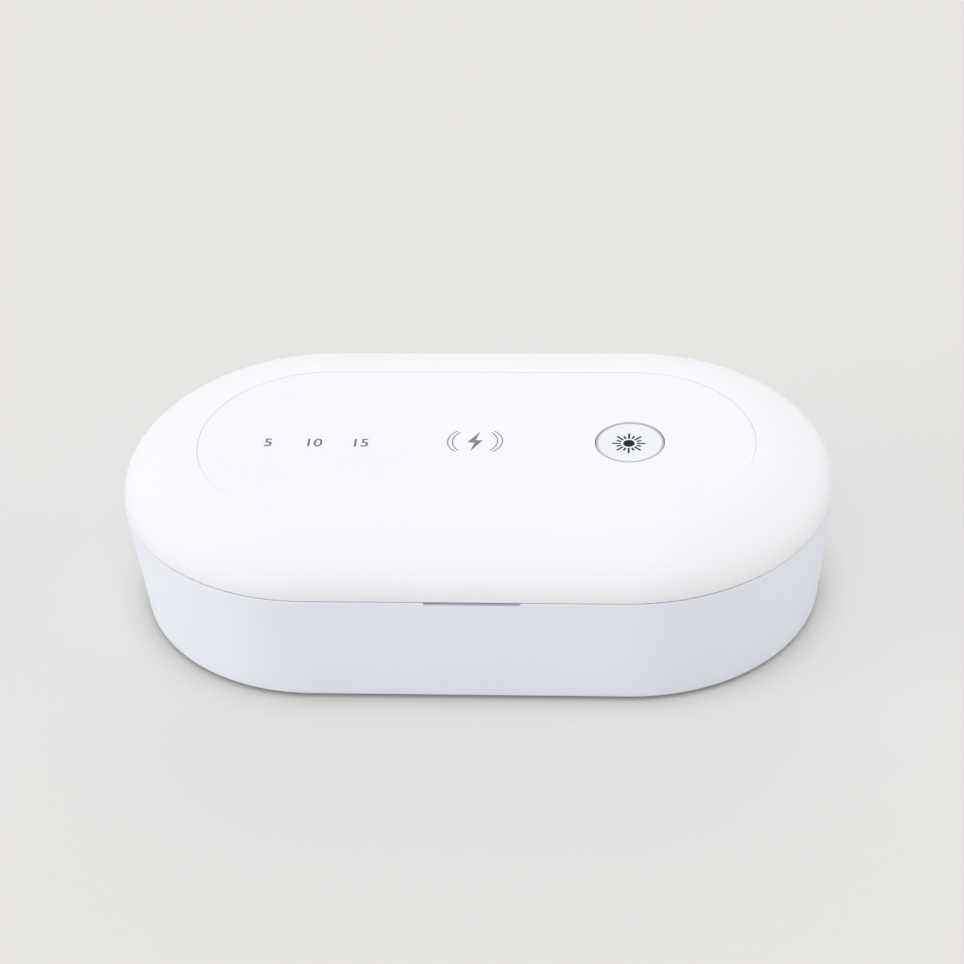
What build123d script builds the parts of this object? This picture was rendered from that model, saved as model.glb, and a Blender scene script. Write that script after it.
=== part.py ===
from build123d import *
import math
import os

# A phone sanitising box: a stadium-shaped tub with a domed, hinged lid. Ultraviolet lamps on narrow
# strips shine through quartz windows into a mirrored chamber, and a charging coil lies under the lid's
# flat panel. Millimetres, +Z up, front at -Y, hinge at +Y, origin on the floor under the middle.

# ---- Outside form ----
length = 220.0
width = 124.0
foot_height = 1.5
base_height = 38.5
base_taper = 3.8
bottom_round = 0.8
seam_gap = 0.25
seam_round = 0.35
lid_height = 14.25
crown_width = 23.2

# ---- Walls and fits ----
wall = 2.4
floor_thickness = 2.4
inner_round = 2.0
rim_thickness = 1.6
ledge_width = 2.4
ledge_height = 3.0
fit_gap = 0.15
film_gap = 0.05
screw_play = 0.2
pilot_tip = 0.3

# ---- Base liner, its light lip and the mirror ----
flange_thickness = 1.8
flange_width = 6.25
floor_space = 7.4
chamber_draft = 1.6
chamber_round = 7.0
liner_wall = 1.6
lip_width = 1.2
lip_height = 1.4
lip_round = 0.4
mirror_thickness = 0.6
mirror_drop = 5.0

# ---- Phone rests ----
rest_count = 4
rest_reach = 27.0
rest_end_gap = 13.4
rest_width = 3.2
rest_height = 5.0
rest_round = 1.5

# ---- Lid liner, seal and lid mirror ----
plate_recess = 2.0
plate_thickness = 2.0
recess_step = 1.6
recess_depth = 2.2
recess_round = 1.2
ceiling_thickness = 1.6
lid_mirror_margin = 1.0
seal_width = 1.9
seal_depth = 0.8
seal_clearance = 0.3

# ---- Charging panel and its seat ----
panel_thickness = 1.8
panel_gap = 0.06
panel_edge = 0.06
panel_sink = 0.05
panel_margin = 0.65
panel_seat_width = 2.6
panel_seat_thickness = 1.0

# ---- Finger notch ----
notch_x = 2.5
notch_width = 28.8
notch_depth = 0.8
notch_reach = 4.0
notch_round = 0.7

# ---- Hinge ----
hinge_inset = 0.6
hinge_margin = 6.0
hinge_notch_gap = 0.4
barrel_radius = 2.6
barrel_gap = 0.35
base_knuckle_width = 13.7
knuckle_end_gap = 0.3
pin_radius = 1.0
pin_clearance = 0.05
pin_length = 25.6
pin_sink = 0.5
swing_relief = 1.2
web_height = 8.0
web_foot = 1.6
open_angle = 105.0
stop_play = 1.0
stop_width = 4.0
stop_reach = 1.6
stop_height = 4.5

# ---- Ultraviolet lamp strips ----
lamp_count = 3
lamp_reach = 2.0
lamp_size = 3.5
lamp_height = 1.2
lamp_well_radius = 1.3
lamp_well_depth = 0.45
strip_inset = 21.4
strip_end = 8.0
strip_width = 10.0
strip_thickness = 1.0
strip_standoff = 1.3
window_radius = 4.5
window_thickness = 0.95
window_seat_depth = 1.0
window_opening = 3.6

# ---- Small screws of the boards and strips ----
small_screw_radius = 0.95
small_screw_head = 1.7
small_screw_head_height = 0.8
screw_head_edge = 0.3
small_post_radius = 2.2
strip_screw_length = 3.0

# ---- Feet and the screws that hold the base together ----
foot_reach = 24.0
foot_inset = 32.2
foot_radius = 7.5
foot_sink = 0.8
foot_edge = 0.5
foot_plug_radius = 2.9
foot_plug_height = 0.3
post_radius = 4.8
post_height = 4.1
counterbore_radius = 3.3
counterbore_depth = 3.0
base_screw_radius = 1.4
base_screw_head = 2.8
base_screw_head_height = 1.8
base_screw_bite = 3.0
boss_radius = 3.6

# ---- Screws that hold the lid liner ----
lid_screw_inset = 2.35
lid_screw_angle = 55.0
lid_screw_radius = 0.95
lid_screw_head = 1.65
lid_screw_head_height = 1.0
lid_screw_head_sink = 0.1
lid_screw_cover = 1.0
lid_boss_radius = 2.1

# ---- Button, its ring and its switch ----
button_inset = 0.4
ring_radius = 10.6
ring_wall = 0.65
ring_edge = 0.45
ring_flange_width = 1.8
ring_flange_thickness = 0.8
button_play = 0.1
button_cap_thickness = 1.4
button_skirt_wall = 1.0
button_flange_width = 1.25
button_flange_thickness = 0.7
button_flange_gap = 0.1
button_travel = 0.5
button_edge = 0.1
button_sink = 0.05
stem_radius = 2.0
switch_size = 6.0
switch_height = 1.5
plunger_radius = 1.6
plunger_height = 0.6
plunger_sink = 0.6
plunger_play = 0.1

# ---- Lid board, coil and ferrite ----
lid_board_width = 28.0
lid_board_thickness = 1.2
lid_board_drop = 2.8
lid_post_reach = 14.0
lid_post_inset = 3.5
lid_board_screw_length = 3.2
coil_outer = 21.0
coil_inner = 10.0
coil_height = 1.2
coil_turns = 5
ferrite_margin = 1.5
ferrite_thickness = 0.8
charger_chip_gap = 8.0
charger_chip_size = 7.0
charger_chip_height = 1.0
charger_choke_gap = 5.5
charger_choke_y = 5.0
charger_choke_radius = 3.0
charger_choke_height = 1.6

# ---- Main board ----
board_length = 60.0
board_width = 22.2
board_thickness = 1.6
board_standoff = 2.5
board_gap = 1.1
board_post_inset = 3.2
board_screw_length = 3.6
parts_inset = 8.0
control_chip_x = -16.0
control_chip_size = 7.0
control_chip_height = 1.0
supply_choke_x = -3.0
supply_choke_radius = 3.6
supply_choke_height = 2.4
plug_x = 15.0
plug_length = 10.0
plug_width = 4.2
plug_height = 2.4

# ---- USB-C socket and its opening ----
socket_width = 8.94
socket_height = 3.16
socket_depth = 7.3
socket_wall = 0.3
socket_round = 1.45
socket_set_back = 0.2
tongue_width = 6.7
tongue_thickness = 0.7
tongue_length = 5.2
port_clearance = 0.4
port_recess_width = 13.4
port_recess_height = 7.2
port_recess_round = 3.2
port_cut_length = 9.6
port_recess_depth = 1.2

# ---- Magnets and the closed-lid sensor ----
magnet_inset = 12.0
magnet_length = 12.0
magnet_height = 2.4
sensor_inset = 26.0
sensor_length = 8.0
sensor_height = 1.4

# ---- Outside planes and radii ----
end_radius = width / 2
spine_half = (length - width) / 2
bottom_z = foot_height
parting_z = foot_height + base_height
lid_bottom_z = parting_z + seam_gap
top_z = lid_bottom_z + lid_height
shell_floor_z = bottom_z + floor_thickness
bottom_radius = end_radius - base_taper

# ---- Where the liners seat ----
rim_inner = end_radius - rim_thickness
ledge_inner = rim_inner - ledge_width
ledge_z = parting_z - flange_thickness
flange_radius = rim_inner - fit_gap
chamber_radius = flange_radius - flange_width
chamber_foot = chamber_radius - chamber_draft
mirror_back = mirror_thickness + film_gap
liner_outer = chamber_radius + mirror_back + liner_wall
liner_under_z = shell_floor_z + floor_space
liner_floor_z = liner_under_z + liner_wall
mirror_floor_z = liner_floor_z + mirror_back
chamber_depth = parting_z - liner_floor_z
flat_floor_radius = chamber_foot - chamber_round

recess_radius = chamber_radius - recess_step
plate_z = parting_z + plate_recess
plate_top_z = plate_z + plate_thickness
ceiling_z = plate_z + recess_depth
ceiling_top_z = ceiling_z + ceiling_thickness
lid_mirror_z = ceiling_z - film_gap - mirror_thickness
lid_screw_circle = flange_radius - lid_screw_inset
lid_screw_seat_z = plate_z + lid_screw_head_sink + lid_screw_head_height
seal_inner = chamber_radius + (lip_width - seal_width) / 2
seal_outer = seal_inner + seal_width

# ---- Where the charging panel and the lid board seat ----
crown_start = end_radius - crown_width
panel_top_z = top_z - panel_sink
panel_seat_z = panel_top_z - panel_thickness
panel_seat_radius = crown_start - panel_margin
panel_radius = panel_seat_radius - panel_gap
panel_opening = panel_seat_radius - panel_seat_width
crown_under_z = panel_seat_z - panel_seat_thickness
lid_board_top_z = panel_seat_z - lid_board_drop
lid_board_z = lid_board_top_z - lid_board_thickness
lid_post_x = spine_half + lid_post_reach
lid_post_y = lid_board_width / 2 - lid_post_inset
lid_board_length = 2 * (lid_post_x + lid_post_inset)

# ---- Where the button and its switch sit ----
button_x = spine_half - button_inset
button_cap_radius = ring_radius - ring_wall - button_play
switch_top_z = lid_board_top_z + switch_height
plunger_top_z = switch_top_z + plunger_height

# ---- Where the hinge sits ----
hinge_y = end_radius - hinge_inset
hinge_z = parting_z + seam_gap / 2
base_knuckle_end = spine_half - hinge_margin
base_knuckle_start = base_knuckle_end - base_knuckle_width
lid_knuckle_half = base_knuckle_start - knuckle_end_gap

# ---- Where the lamps and their boards sit ----
lamp_pitch = 2 * (spine_half + lamp_reach) / (lamp_count - 1)
strip_offset = flat_floor_radius - strip_inset
strip_length = 2 * (spine_half + lamp_reach + strip_end)
strip_screw_x = lamp_pitch / 2
base_strip_top_z = liner_under_z - strip_standoff
lid_strip_under_z = ceiling_top_z + strip_standoff

# ---- Where the phone rests, feet and base screws sit ----
rest_pitch = 2 * (spine_half + rest_reach) / (rest_count - 1)
rest_length = 2 * (flat_floor_radius - rest_end_gap)
foot_x = spine_half + foot_reach
foot_y = bottom_radius - foot_inset
post_top_z = shell_floor_z + post_height
screw_seat_z = bottom_z + counterbore_depth
screw_tip_z = post_top_z + base_screw_bite


def outer_at(z):
    """How far the base's outer wall stands from the spine at a height."""
    return end_radius - base_taper * (parting_z - z) / base_height


def chamber_at(z):
    """How far the chamber's inner wall stands from the spine at a height."""
    return chamber_radius - chamber_draft * (parting_z - z) / chamber_depth


def crown_height_at(radius):
    """The height of the lid's domed edge at a distance from the spine."""
    return lid_bottom_z + lid_height * math.sqrt(1 - ((radius - crown_start) / crown_width) ** 2)


def crown_reach_at(z):
    """How far the lid's domed edge stands from the spine at a height."""
    return crown_start + crown_width * math.sqrt(1 - ((z - lid_bottom_z) / lid_height) ** 2)


lid_screw_hole_z = crown_height_at(lid_screw_circle + lid_screw_radius) - lid_screw_cover
lid_screw_length = lid_screw_hole_z - pilot_tip - lid_screw_seat_z

board_z = shell_floor_z + board_standoff
board_top_z = board_z + board_thickness
board_back = outer_at(board_z) - wall - board_gap
board_middle = board_back - board_width / 2
parts_line_y = board_back - board_width + parts_inset
board_screw_hole_z = board_top_z - board_screw_length - pilot_tip

socket_z = board_top_z + socket_height / 2
socket_mouth_y = outer_at(socket_z) - port_recess_depth - socket_set_back

magnet_x = spine_half - magnet_inset
magnet_y = -(liner_outer + ledge_inner) / 2
magnet_thickness = ledge_inner - liner_outer - fit_gap
sensor_x = sensor_inset - spine_half


def section(points, rounds):
    """A half section: each point is its distance out from the spine and its height."""
    return Plane.YZ * make_face(FilletPolyline(*points, radius=rounds, close=True))


def around(half_section):
    """Carry a half section along the straight middle and round both ends of the stadium."""
    other_half = mirror(half_section, about=Plane.XZ)
    start = Pos(-spine_half, 0, 0)
    stop = Pos(spine_half, 0, 0)
    middle = extrude(start * half_section, 2 * spine_half, dir=(1, 0, 0))
    middle += extrude(start * other_half, 2 * spine_half, dir=(1, 0, 0))
    left_end = revolve(start * half_section, Axis((-spine_half, 0, 0), (0, 0, 1)), 180)
    right_end = revolve(stop * other_half, Axis((spine_half, 0, 0), (0, 0, 1)), 180)
    return middle + left_end + right_end


def slab(radius, z_low, z_high):
    """A flat stadium plate of that end radius between two heights."""
    outline = SlotCenterToCenter(2 * spine_half, 2 * radius)
    return extrude(Pos(0, 0, z_low) * outline, z_high - z_low)


def disc(radius, z_low, z_high, x=0.0, y=0.0):
    """An upright cylinder between two heights."""
    return extrude(Pos(x, y, z_low) * Circle(radius), z_high - z_low)


def block(size_x, size_y, z_low, z_high, x=0.0, y=0.0):
    """An upright box between two heights."""
    return extrude(Pos(x, y, z_low) * Rectangle(size_x, size_y), z_high - z_low)


def rod_along_x(radius, x_low, x_high, y=hinge_y, z=hinge_z):
    """A cylinder that lies along X, on the hinge's axis unless told otherwise."""
    return extrude(Plane.YZ.offset(x_low) * Pos(y, z) * Circle(radius), x_high - x_low)


def group(shapes):
    """Separate solids kept as one named node."""
    return Compound([solid for shape in shapes for solid in shape.solids()])


def corners(x, y):
    """The four places at plus and minus x and y."""
    return [(side * x, end * y) for side in (-1, 1) for end in (-1, 1)]


def lamp_places():
    """The centre of each lamp and its window, seen from above."""
    steps = [index - (lamp_count - 1) / 2 for index in range(lamp_count)]
    return [(step * lamp_pitch, side * strip_offset) for side in (-1, 1) for step in steps]


def strip_screw_places():
    """The screws that hold both strips."""
    return corners(strip_screw_x, strip_offset)


def lid_screw_places():
    """The screws round the two ends of the lid liner."""
    places = []
    for side in (-1, 1):
        for angle in (-lid_screw_angle, 0, lid_screw_angle):
            out = lid_screw_circle * math.cos(math.radians(angle))
            places.append((side * (spine_half + out), lid_screw_circle * math.sin(math.radians(angle))))
    return places


def pan_screw(head_radius, head_height, shank_radius, shank_length):
    """A pan-head screw with its tip up: the head's bearing face is at the origin."""
    head = extrude(Circle(head_radius), -head_height)
    head = chamfer(head.edges().sort_by(Axis.Z)[0], screw_head_edge)
    return head + extrude(Circle(shank_radius), shank_length)


def knuckle(x_low, x_high, foot_z, foot_outer, foot_inner):
    """A hinge knuckle whose web runs down or up to a foot on the wall."""
    barrel = Pos(hinge_y, hinge_z) * Circle(barrel_radius)
    foot = Line((foot_inner, foot_z), (foot_outer, foot_z))
    outline = make_hull(barrel.edges() + foot.edges())
    return extrude(Plane.YZ.offset(x_low) * outline, x_high - x_low, dir=(1, 0, 0))


def swing_groove():
    """The relief along the rear edge that lets the two rims pass as the lid swings."""
    reach = spine_half + math.sqrt(end_radius**2 - hinge_y**2) + swing_relief
    return rod_along_x(swing_relief, -reach, reach)


def hinge_notch(z_low, z_high):
    """The straight notch in a liner's flange that leaves room for the hinge."""
    notch_front = hinge_y - barrel_radius - hinge_notch_gap
    notch_size = end_radius - notch_front
    middle = notch_front + notch_size / 2
    return block(2 * (base_knuckle_end + knuckle_end_gap), notch_size, z_low, z_high, 0, middle)


def stop_rib(x_low):
    """A rib on the rear wall, trimmed to the back of the lid as it stands fully open."""
    rib_z = hinge_z - hinge_inset
    outline = Polygon(
        (outer_at(rib_z) - wall / 2, rib_z),
        (outer_at(rib_z) + stop_reach, rib_z),
        (outer_at(rib_z) + stop_reach, rib_z - stop_reach),
        (outer_at(rib_z) - wall / 2, rib_z - stop_height),
        align=None,
    )
    hinge_point = Pos(hinge_y, hinge_z)
    open_lid = hinge_point * Rot(0, 0, -open_angle - stop_play) * hinge_point.inverse()
    outline -= open_lid * crown_half(crown_width, lid_height)
    return extrude(Plane.YZ.offset(x_low) * outline, stop_width, dir=(1, 0, 0))


def finger_notch(z_low, z_high):
    """The shallow slot at the front where a fingertip lifts the lid."""
    notch = block(notch_width, 2 * notch_reach, z_low, z_high, notch_x, -end_radius)
    return fillet(notch.edges().filter_by(Axis.Y).group_by(Axis.Z)[0], notch_round)


# ---- Base ----


def make_base_shell():
    """The outer tub, with its rim, inner ledge, screw posts, socket opening and outer knuckles."""
    web_end_z = ledge_z - ledge_height
    web_foot_z = web_end_z - ledge_width
    points = [
        (0, bottom_z),
        (bottom_radius, bottom_z),
        (end_radius, parting_z),
        (rim_inner, parting_z),
        (rim_inner, ledge_z),
        (ledge_inner, ledge_z),
        (ledge_inner, web_end_z),
        (outer_at(web_foot_z) - wall, web_foot_z),
        (bottom_radius - wall, shell_floor_z),
        (0, shell_floor_z),
    ]
    rounds = [0, bottom_round, seam_round, 0, 0, 0, 0, 0, inner_round, 0]
    shell = around(section(points, rounds))

    for x, y in corners(foot_x, foot_y):
        shell += disc(post_radius, bottom_z, post_top_z, x, y)
        shell -= disc(foot_radius + fit_gap, bottom_z - 1, bottom_z + foot_sink, x, y)
        shell -= disc(counterbore_radius, bottom_z, screw_seat_z, x, y)
        shell -= disc(base_screw_radius + screw_play, screw_seat_z, post_top_z + 1, x, y)

    for x, y in board_post_places():
        shell += disc(small_post_radius, bottom_z + floor_thickness / 2, board_z, x, y)
        shell -= disc(small_screw_radius + film_gap, board_screw_hole_z, board_z + 1, x, y)

    port_wall_y = outer_at(socket_z)
    opening = RectangleRounded(
        socket_width + 2 * port_clearance, socket_height + 2 * port_clearance, socket_round
    )
    recess = RectangleRounded(port_recess_width, port_recess_height, port_recess_round)
    port_plane = Plane.XZ.offset(-port_wall_y - wall)
    shell -= extrude(port_plane * Pos(0, socket_z) * opening, port_cut_length)
    shell -= extrude(port_plane * Pos(0, socket_z) * recess, wall + port_recess_depth)

    shell -= rod_along_x(barrel_radius + barrel_gap, -base_knuckle_start, base_knuckle_start)
    shell -= swing_groove()
    foot_z = hinge_z - web_height
    for x_low in (-base_knuckle_end, base_knuckle_start):
        x_high = x_low + base_knuckle_width
        shell += knuckle(x_low, x_high, foot_z, outer_at(foot_z), outer_at(foot_z) - web_foot)
    shell -= rod_along_x(pin_radius + pin_clearance, -base_knuckle_end - 1, base_knuckle_end + 1)
    rib = stop_rib(base_knuckle_end)
    shell += rib + mirror(rib, about=Plane.YZ)
    return shell - finger_notch(parting_z - notch_depth, top_z)


def board_post_places():
    """The two posts at each end of the main board."""
    x = board_length / 2 - board_post_inset
    rise = board_width / 2 - board_post_inset
    return [(side * x, board_middle + end * rise) for side in (-1, 1) for end in (-1, 1)]


def make_base_liner():
    """The inner tub with its flange, light lip, window seats, strip posts and screw bosses."""
    mirror_top_z = parting_z - mirror_drop
    under_foot = chamber_foot + mirror_back + liner_wall
    points = [
        (flange_radius, parting_z),
        (chamber_radius + lip_width, parting_z),
        (chamber_radius + lip_width, parting_z + lip_height),
        (chamber_radius, parting_z + lip_height),
        (chamber_at(mirror_top_z), mirror_top_z),
        (chamber_at(mirror_top_z) + mirror_back, mirror_top_z),
        (chamber_foot + mirror_back, liner_floor_z),
        (0, liner_floor_z),
        (0, liner_under_z),
        (under_foot, liner_under_z),
        (liner_outer, ledge_z),
        (flange_radius, ledge_z),
    ]
    outer_round = chamber_round + liner_wall
    rounds = [0, 0, lip_round, lip_round, 0, 0, chamber_round, 0, 0, outer_round, 0, 0]
    liner = around(section(points, rounds))

    for x, y in strip_screw_places():
        liner += disc(small_post_radius, base_strip_top_z, liner_under_z, x, y)
        hole_top = base_strip_top_z + strip_screw_length - strip_thickness + pilot_tip / 2
        liner -= disc(small_screw_radius + film_gap, base_strip_top_z - 1, hole_top, x, y)
    for x, y in lamp_places():
        liner -= disc(window_radius + film_gap, liner_under_z - 1, liner_under_z + window_seat_depth, x, y)
        liner -= disc(window_opening, liner_under_z, liner_floor_z + 1, x, y)
    for x, y in corners(foot_x, foot_y):
        liner += disc(boss_radius, post_top_z + film_gap, liner_floor_z - liner_wall / 2, x, y)
        liner -= disc(base_screw_radius + film_gap, post_top_z - 1, screw_tip_z + pilot_tip, x, y)

    liner -= hinge_notch(ledge_z - 1, parting_z + 1)
    return liner - swing_groove() - finger_notch(parting_z - notch_depth, parting_z + 1)


def make_base_mirror():
    """The thin polished pan that lines the chamber, flush with the liner's upper wall."""
    rim_z = parting_z - mirror_drop - film_gap
    back = mirror_thickness
    points = [
        (chamber_at(rim_z), rim_z),
        (chamber_foot, mirror_floor_z),
        (0, mirror_floor_z),
        (0, mirror_floor_z - mirror_thickness),
        (chamber_foot + back, mirror_floor_z - mirror_thickness),
        (chamber_at(rim_z) + back, rim_z),
    ]
    pan = around(section(points, [0, chamber_round - mirror_thickness, 0, 0, chamber_round, 0]))
    for x, y in lamp_places():
        pan -= disc(window_opening, liner_floor_z - 1, mirror_floor_z + 1, x, y)
    return pan


def make_phone_rests():
    """Soft ribs across the mirror that hold the phone off it."""
    rib = block(rest_width, rest_length, mirror_floor_z, mirror_floor_z + rest_height)
    rib = fillet(rib.faces().sort_by(Axis.Z)[-1].edges(), rest_round)
    steps = [index - (rest_count - 1) / 2 for index in range(rest_count)]
    return group([Pos(step * rest_pitch, 0, 0) * rib for step in steps])


def make_lamp_boards(z_low):
    """The two narrow aluminium boards that carry the lamps."""
    boards = []
    for side in (-1, 1):
        y = side * strip_offset
        z_high = z_low + strip_thickness
        board = block(strip_length, strip_width, z_low, z_high, 0, y)
        for x in (-strip_screw_x, strip_screw_x):
            board -= disc(small_screw_radius + screw_play, z_low - 1, z_high + 1, x, y)
        boards.append(board)
    return group(boards)


def make_lamps(z_low, well_low):
    """Square lamp packages on both boards, each with the round well that holds its die."""
    lamps = []
    for x, y in lamp_places():
        lamp = block(lamp_size, lamp_size, z_low, z_low + lamp_height, x, y)
        lamps.append(lamp - disc(lamp_well_radius, well_low, well_low + lamp_well_depth, x, y))
    return group(lamps)


def make_windows(z_low):
    """Quartz discs over the lamps."""
    return group([disc(window_radius, z_low, z_low + window_thickness, x, y) for x, y in lamp_places()])


def make_feet():
    """Rubber feet, sunk into the floor over the screws."""
    feet = []
    for x, y in corners(foot_x, foot_y):
        foot = disc(foot_radius, 0, bottom_z + foot_sink, x, y)
        foot = chamfer(foot.edges().sort_by(Axis.Z)[0], foot_edge)
        feet.append(foot + disc(foot_plug_radius, bottom_z, bottom_z + foot_sink + foot_plug_height, x, y))
    return group(feet)


def make_base_screws():
    """The screws that pull the liner down onto the shell, under the feet."""
    reach = screw_tip_z - screw_seat_z
    screw = pan_screw(base_screw_head, base_screw_head_height, base_screw_radius, reach)
    return group([Pos(x, y, screw_seat_z) * screw for x, y in corners(foot_x, foot_y)])


def make_base_strip_screws():
    """The screws that hold the base's lamp boards up against the liner."""
    screw = pan_screw(small_screw_head, small_screw_head_height, small_screw_radius, strip_screw_length)
    seat_z = base_strip_top_z - strip_thickness
    return group([Pos(x, y, seat_z) * screw for x, y in strip_screw_places()])


def make_main_board():
    """The board that takes the supply and runs the lamps."""
    board = block(board_length, board_width, board_z, board_top_z, 0, board_middle)
    for x, y in board_post_places():
        board -= disc(small_screw_radius + screw_play, board_z - 1, board_top_z + 1, x, y)
    return board


def make_board_screws():
    """The screws of the main board, tips down."""
    screw = pan_screw(small_screw_head, small_screw_head_height, small_screw_radius, board_screw_length)
    return group([Pos(x, y, board_top_z) * Rot(180, 0, 0) * screw for x, y in board_post_places()])


def make_board_chips():
    """The controller, the supply's choke and the lamp plug on the main board."""
    size = control_chip_size
    chip_top_z = board_top_z + control_chip_height
    chip = block(size, size, board_top_z, chip_top_z, control_chip_x, parts_line_y)
    choke_top_z = board_top_z + supply_choke_height
    choke = disc(supply_choke_radius, board_top_z, choke_top_z, supply_choke_x, parts_line_y)
    plug = block(plug_length, plug_width, board_top_z, board_top_z + plug_height, plug_x, parts_line_y)
    return group([chip, choke, plug])


def make_socket_shell():
    """The socket's drawn steel shell, closed at the back."""
    outline = RectangleRounded(socket_width, socket_height, socket_round)
    inside = RectangleRounded(
        socket_width - 2 * socket_wall, socket_height - 2 * socket_wall, socket_round - socket_wall
    )
    mouth = Plane.XZ.offset(-socket_mouth_y) * Pos(0, socket_z)
    shell = extrude(mouth * outline, socket_depth)
    return shell - extrude(mouth * inside, socket_depth - socket_wall)


def make_socket_tongue():
    """The insulating tongue inside the socket."""
    back_y = socket_mouth_y - socket_depth + socket_wall
    middle = back_y + tongue_length / 2
    low_z = socket_z - tongue_thickness / 2
    return block(tongue_width, tongue_length, low_z, low_z + tongue_thickness, 0, middle)


def make_hinge_pins():
    """Two short steel pins on the hinge's axis."""
    stop = base_knuckle_end - pin_sink
    right_pin = rod_along_x(pin_radius, stop - pin_length, stop)
    return group([right_pin, mirror(right_pin, about=Plane.YZ)])


def make_base_magnets():
    """The closing magnets, glued under the base flange beside the liner's wall."""
    low_z = ledge_z - magnet_height
    bars = [
        block(magnet_length, magnet_thickness, low_z, ledge_z, side * magnet_x, magnet_y)
        for side in (-1, 1)
    ]
    return group(bars)


def make_lid_sensor():
    """The small sensor that feels the lid's magnet when the lid is shut."""
    return block(sensor_length, magnet_thickness, ledge_z - sensor_height, ledge_z, sensor_x, magnet_y)


# ---- Lid ----


def crown_half(reach, rise):
    """Half section of a slab that is flat in the middle and falls as a quarter ellipse."""
    flat = Pos(0, lid_bottom_z) * Rectangle(crown_start, rise, align=(Align.MIN, Align.MIN))
    corner = Pos(crown_start, lid_bottom_z)
    quarter = (corner * Ellipse(reach, rise)) & (
        corner * Rectangle(reach, rise, align=(Align.MIN, Align.MIN))
    )
    return flat + quarter


def ring_half(inner, outer, z_low, z_high):
    """Half section of a flat ring, or of a slab where inner is 0."""
    box = Rectangle(outer - inner, z_high - z_low, align=(Align.MIN, Align.MIN))
    return Pos(inner, z_low) * box


def make_lid_shell():
    """The domed cover, with the panel's seat, the liner's rebate and the middle knuckle."""
    half = crown_half(crown_width, lid_height)
    half = fillet(half.vertices().sort_by(Axis.X)[-1], seam_round)
    half -= ring_half(0, panel_seat_radius, panel_seat_z, top_z + 1)
    rebate = ring_half(0, rim_inner, lid_bottom_z - 1, plate_top_z)
    rebate += ring_half(0, panel_opening, lid_bottom_z, top_z)
    cavity = crown_half(crown_width - wall, crown_under_z - lid_bottom_z)
    cavity -= ring_half(ledge_inner, end_radius, lid_bottom_z - 1, top_z)
    cavity = around(Plane.YZ * (cavity - rebate))
    for x, y in lid_screw_places():
        cavity -= disc(lid_boss_radius, plate_top_z, top_z, x, y)
    shell = around(Plane.YZ * (half - rebate)) - cavity
    for x, y in lid_screw_places():
        shell -= disc(lid_screw_radius + film_gap, plate_top_z - 1, lid_screw_hole_z, x, y)

    for x_low in (-base_knuckle_end, base_knuckle_start):
        x_high = x_low + base_knuckle_width
        shell -= rod_along_x(barrel_radius + barrel_gap, x_low - knuckle_end_gap, x_high + knuckle_end_gap)
    shell -= swing_groove()
    foot_z = hinge_z + web_height / 2
    foot_outer = crown_reach_at(foot_z)
    shell += knuckle(-lid_knuckle_half, lid_knuckle_half, foot_z, foot_outer, foot_outer - web_foot)
    bore_start = base_knuckle_end - pin_sink - pin_length - pilot_tip
    for side in (-1, 1):
        ends = sorted((side * bore_start, side * (lid_knuckle_half + 1)))
        shell -= rod_along_x(pin_radius + pin_clearance, *ends)
    return shell


def make_panel():
    """The flat charging panel, with the button's hole and the posts of the lid board."""
    panel = slab(panel_radius, panel_seat_z, panel_top_z)
    panel = chamfer(panel.faces().sort_by(Axis.Z)[-1].edges(), panel_edge)
    for x, y in corners(lid_post_x, lid_post_y):
        panel += disc(small_post_radius, lid_board_top_z, panel_seat_z, x, y)
        hole_top = lid_board_top_z + lid_board_screw_length - lid_board_thickness + pilot_tip
        panel -= disc(small_screw_radius + film_gap, lid_board_top_z - 1, hole_top, x, y)
    return panel - disc(ring_radius + fit_gap, panel_seat_z - 1, top_z + 1, button_x, 0)


def make_lid_liner():
    """The lid's inner plate, with the shallow recess over the chamber and the seal's groove."""
    points = [
        (flange_radius, plate_z),
        (recess_radius, plate_z),
        (recess_radius, ceiling_z),
        (0, ceiling_z),
        (0, ceiling_top_z),
        (recess_radius + ceiling_thickness, ceiling_top_z),
        (recess_radius + ceiling_thickness, plate_top_z),
        (flange_radius, plate_top_z),
    ]
    liner = around(section(points, [0, lip_round, recess_round, 0, 0, recess_round, 0, 0]))
    groove = ring_half(seal_inner - film_gap, seal_outer + film_gap, plate_z - 1, plate_z + seal_depth)
    liner -= around(Plane.YZ * groove)

    for x, y in strip_screw_places():
        liner += disc(small_post_radius, ceiling_top_z, lid_strip_under_z, x, y)
        hole_low = lid_strip_under_z - strip_screw_length + strip_thickness - pilot_tip / 2
        liner -= disc(small_screw_radius + film_gap, hole_low, lid_strip_under_z + 1, x, y)
    for x, y in lamp_places():
        liner -= disc(window_radius + film_gap, ceiling_top_z - window_seat_depth, ceiling_top_z + 1, x, y)
        liner -= disc(window_opening, ceiling_z - 1, ceiling_top_z, x, y)
    for x, y in lid_screw_places():
        liner -= disc(lid_screw_head + screw_play, plate_z - 1, lid_screw_seat_z, x, y)
        liner -= disc(lid_screw_radius + screw_play, plate_z, plate_top_z + 1, x, y)
    return liner - hinge_notch(plate_z - 1, plate_top_z + 1)


def make_lid_seal():
    """The soft ring that closes on the chamber's lip and keeps the light in."""
    low_z = parting_z + lip_height + seal_clearance
    outline = ring_half(seal_inner, seal_outer, low_z, plate_z + seal_depth)
    return around(Plane.YZ * outline)


def make_lid_mirror():
    """The polished sheet on the lid's ceiling."""
    mirror_sheet = slab(recess_radius - lid_mirror_margin, lid_mirror_z, lid_mirror_z + mirror_thickness)
    for x, y in lamp_places():
        mirror_sheet -= disc(window_opening, lid_mirror_z - 1, ceiling_z + 1, x, y)
    return mirror_sheet


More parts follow.
